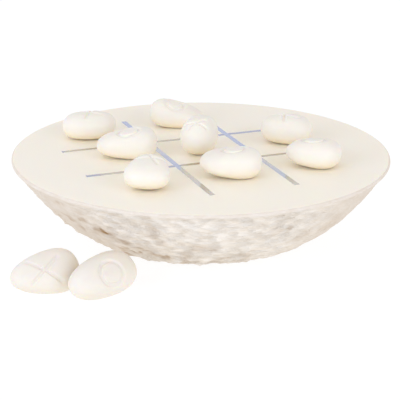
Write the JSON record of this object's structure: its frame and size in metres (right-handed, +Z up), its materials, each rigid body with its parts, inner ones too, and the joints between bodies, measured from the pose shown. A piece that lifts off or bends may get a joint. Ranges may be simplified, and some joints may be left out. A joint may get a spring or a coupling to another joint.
{
  "type": "tic-tac-toe board",
  "caption": "Round stone tic-tac-toe board with a hewn bowl-shaped underside, a grid of metal strips let in flush, and loose pebbles carved with an X or an O.",
  "frame": {"origin": "centre of the board's flat foot, on the table", "axes": "+Z up through the middle of the board, -Y towards the player and the picture's camera, +X to the player's right"},
  "size_m": [0.35, 0.3539, 0.1141],
  "materials": {
    "limestone": "honed playing face, hewn underside",
    "pebble": "smooth, river-worn",
    "strip_steel": "ground flush with the stone",
    "cement": "trowelled, hidden"
  },
  "bodies": {
    "stone_board": {"board": "limestone", "strip_bedding": "cement", "left_strip": "strip_steel", "right_strip": "strip_steel", "far_strip": "strip_steel", "near_strip": "strip_steel"},
    "x_stone_1_piece": {"x_stone_1": "pebble"},
    "x_stone_2_piece": {"x_stone_2": "pebble"},
    "x_stone_3_piece": {"x_stone_3": "pebble"},
    "x_stone_4_piece": {"x_stone_4": "pebble"},
    "x_stone_5_piece": {"x_stone_5": "pebble"},
    "o_stone_1_piece": {"o_stone_1": "pebble"},
    "o_stone_2_piece": {"o_stone_2": "pebble"},
    "o_stone_3_piece": {"o_stone_3": "pebble"},
    "o_stone_4_piece": {"o_stone_4": "pebble"},
    "o_stone_5_piece": {"o_stone_5": "pebble"}
  },
  "joints": [
    {"name": "lift_x_stone_1", "type": "slide", "parent": "stone_board", "child": "x_stone_1_piece", "axis": [0, 0, 1], "range_m": [0, 0.06]},
    {"name": "lift_x_stone_2", "type": "slide", "parent": "stone_board", "child": "x_stone_2_piece", "axis": [0, 0, 1], "range_m": [0, 0.06]},
    {"name": "lift_x_stone_3", "type": "slide", "parent": "stone_board", "child": "x_stone_3_piece", "axis": [0, 0, 1], "range_m": [0, 0.06]},
    {"name": "lift_x_stone_4", "type": "slide", "parent": "stone_board", "child": "x_stone_4_piece", "axis": [0, 0, 1], "range_m": [0, 0.06]},
    {"name": "lift_x_stone_5", "type": "slide", "parent": "stone_board", "child": "x_stone_5_piece", "axis": [-0.7789, -0.3795, 0.4993], "range_m": [0, 0.08]},
    {"name": "lift_o_stone_1", "type": "slide", "parent": "stone_board", "child": "o_stone_1_piece", "axis": [0, 0, 1], "range_m": [0, 0.06]},
    {"name": "lift_o_stone_2", "type": "slide", "parent": "stone_board", "child": "o_stone_2_piece", "axis": [0, 0, 1], "range_m": [0, 0.06]},
    {"name": "lift_o_stone_3", "type": "slide", "parent": "stone_board", "child": "o_stone_3_piece", "axis": [0, 0, 1], "range_m": [0, 0.06]},
    {"name": "lift_o_stone_4", "type": "slide", "parent": "stone_board", "child": "o_stone_4_piece", "axis": [0, 0, 1], "range_m": [0, 0.06]},
    {"name": "lift_o_stone_5", "type": "slide", "parent": "stone_board", "child": "o_stone_5_piece", "axis": [0.2196, -0.8383, 0.499], "range_m": [0, 0.08]}
  ]
}
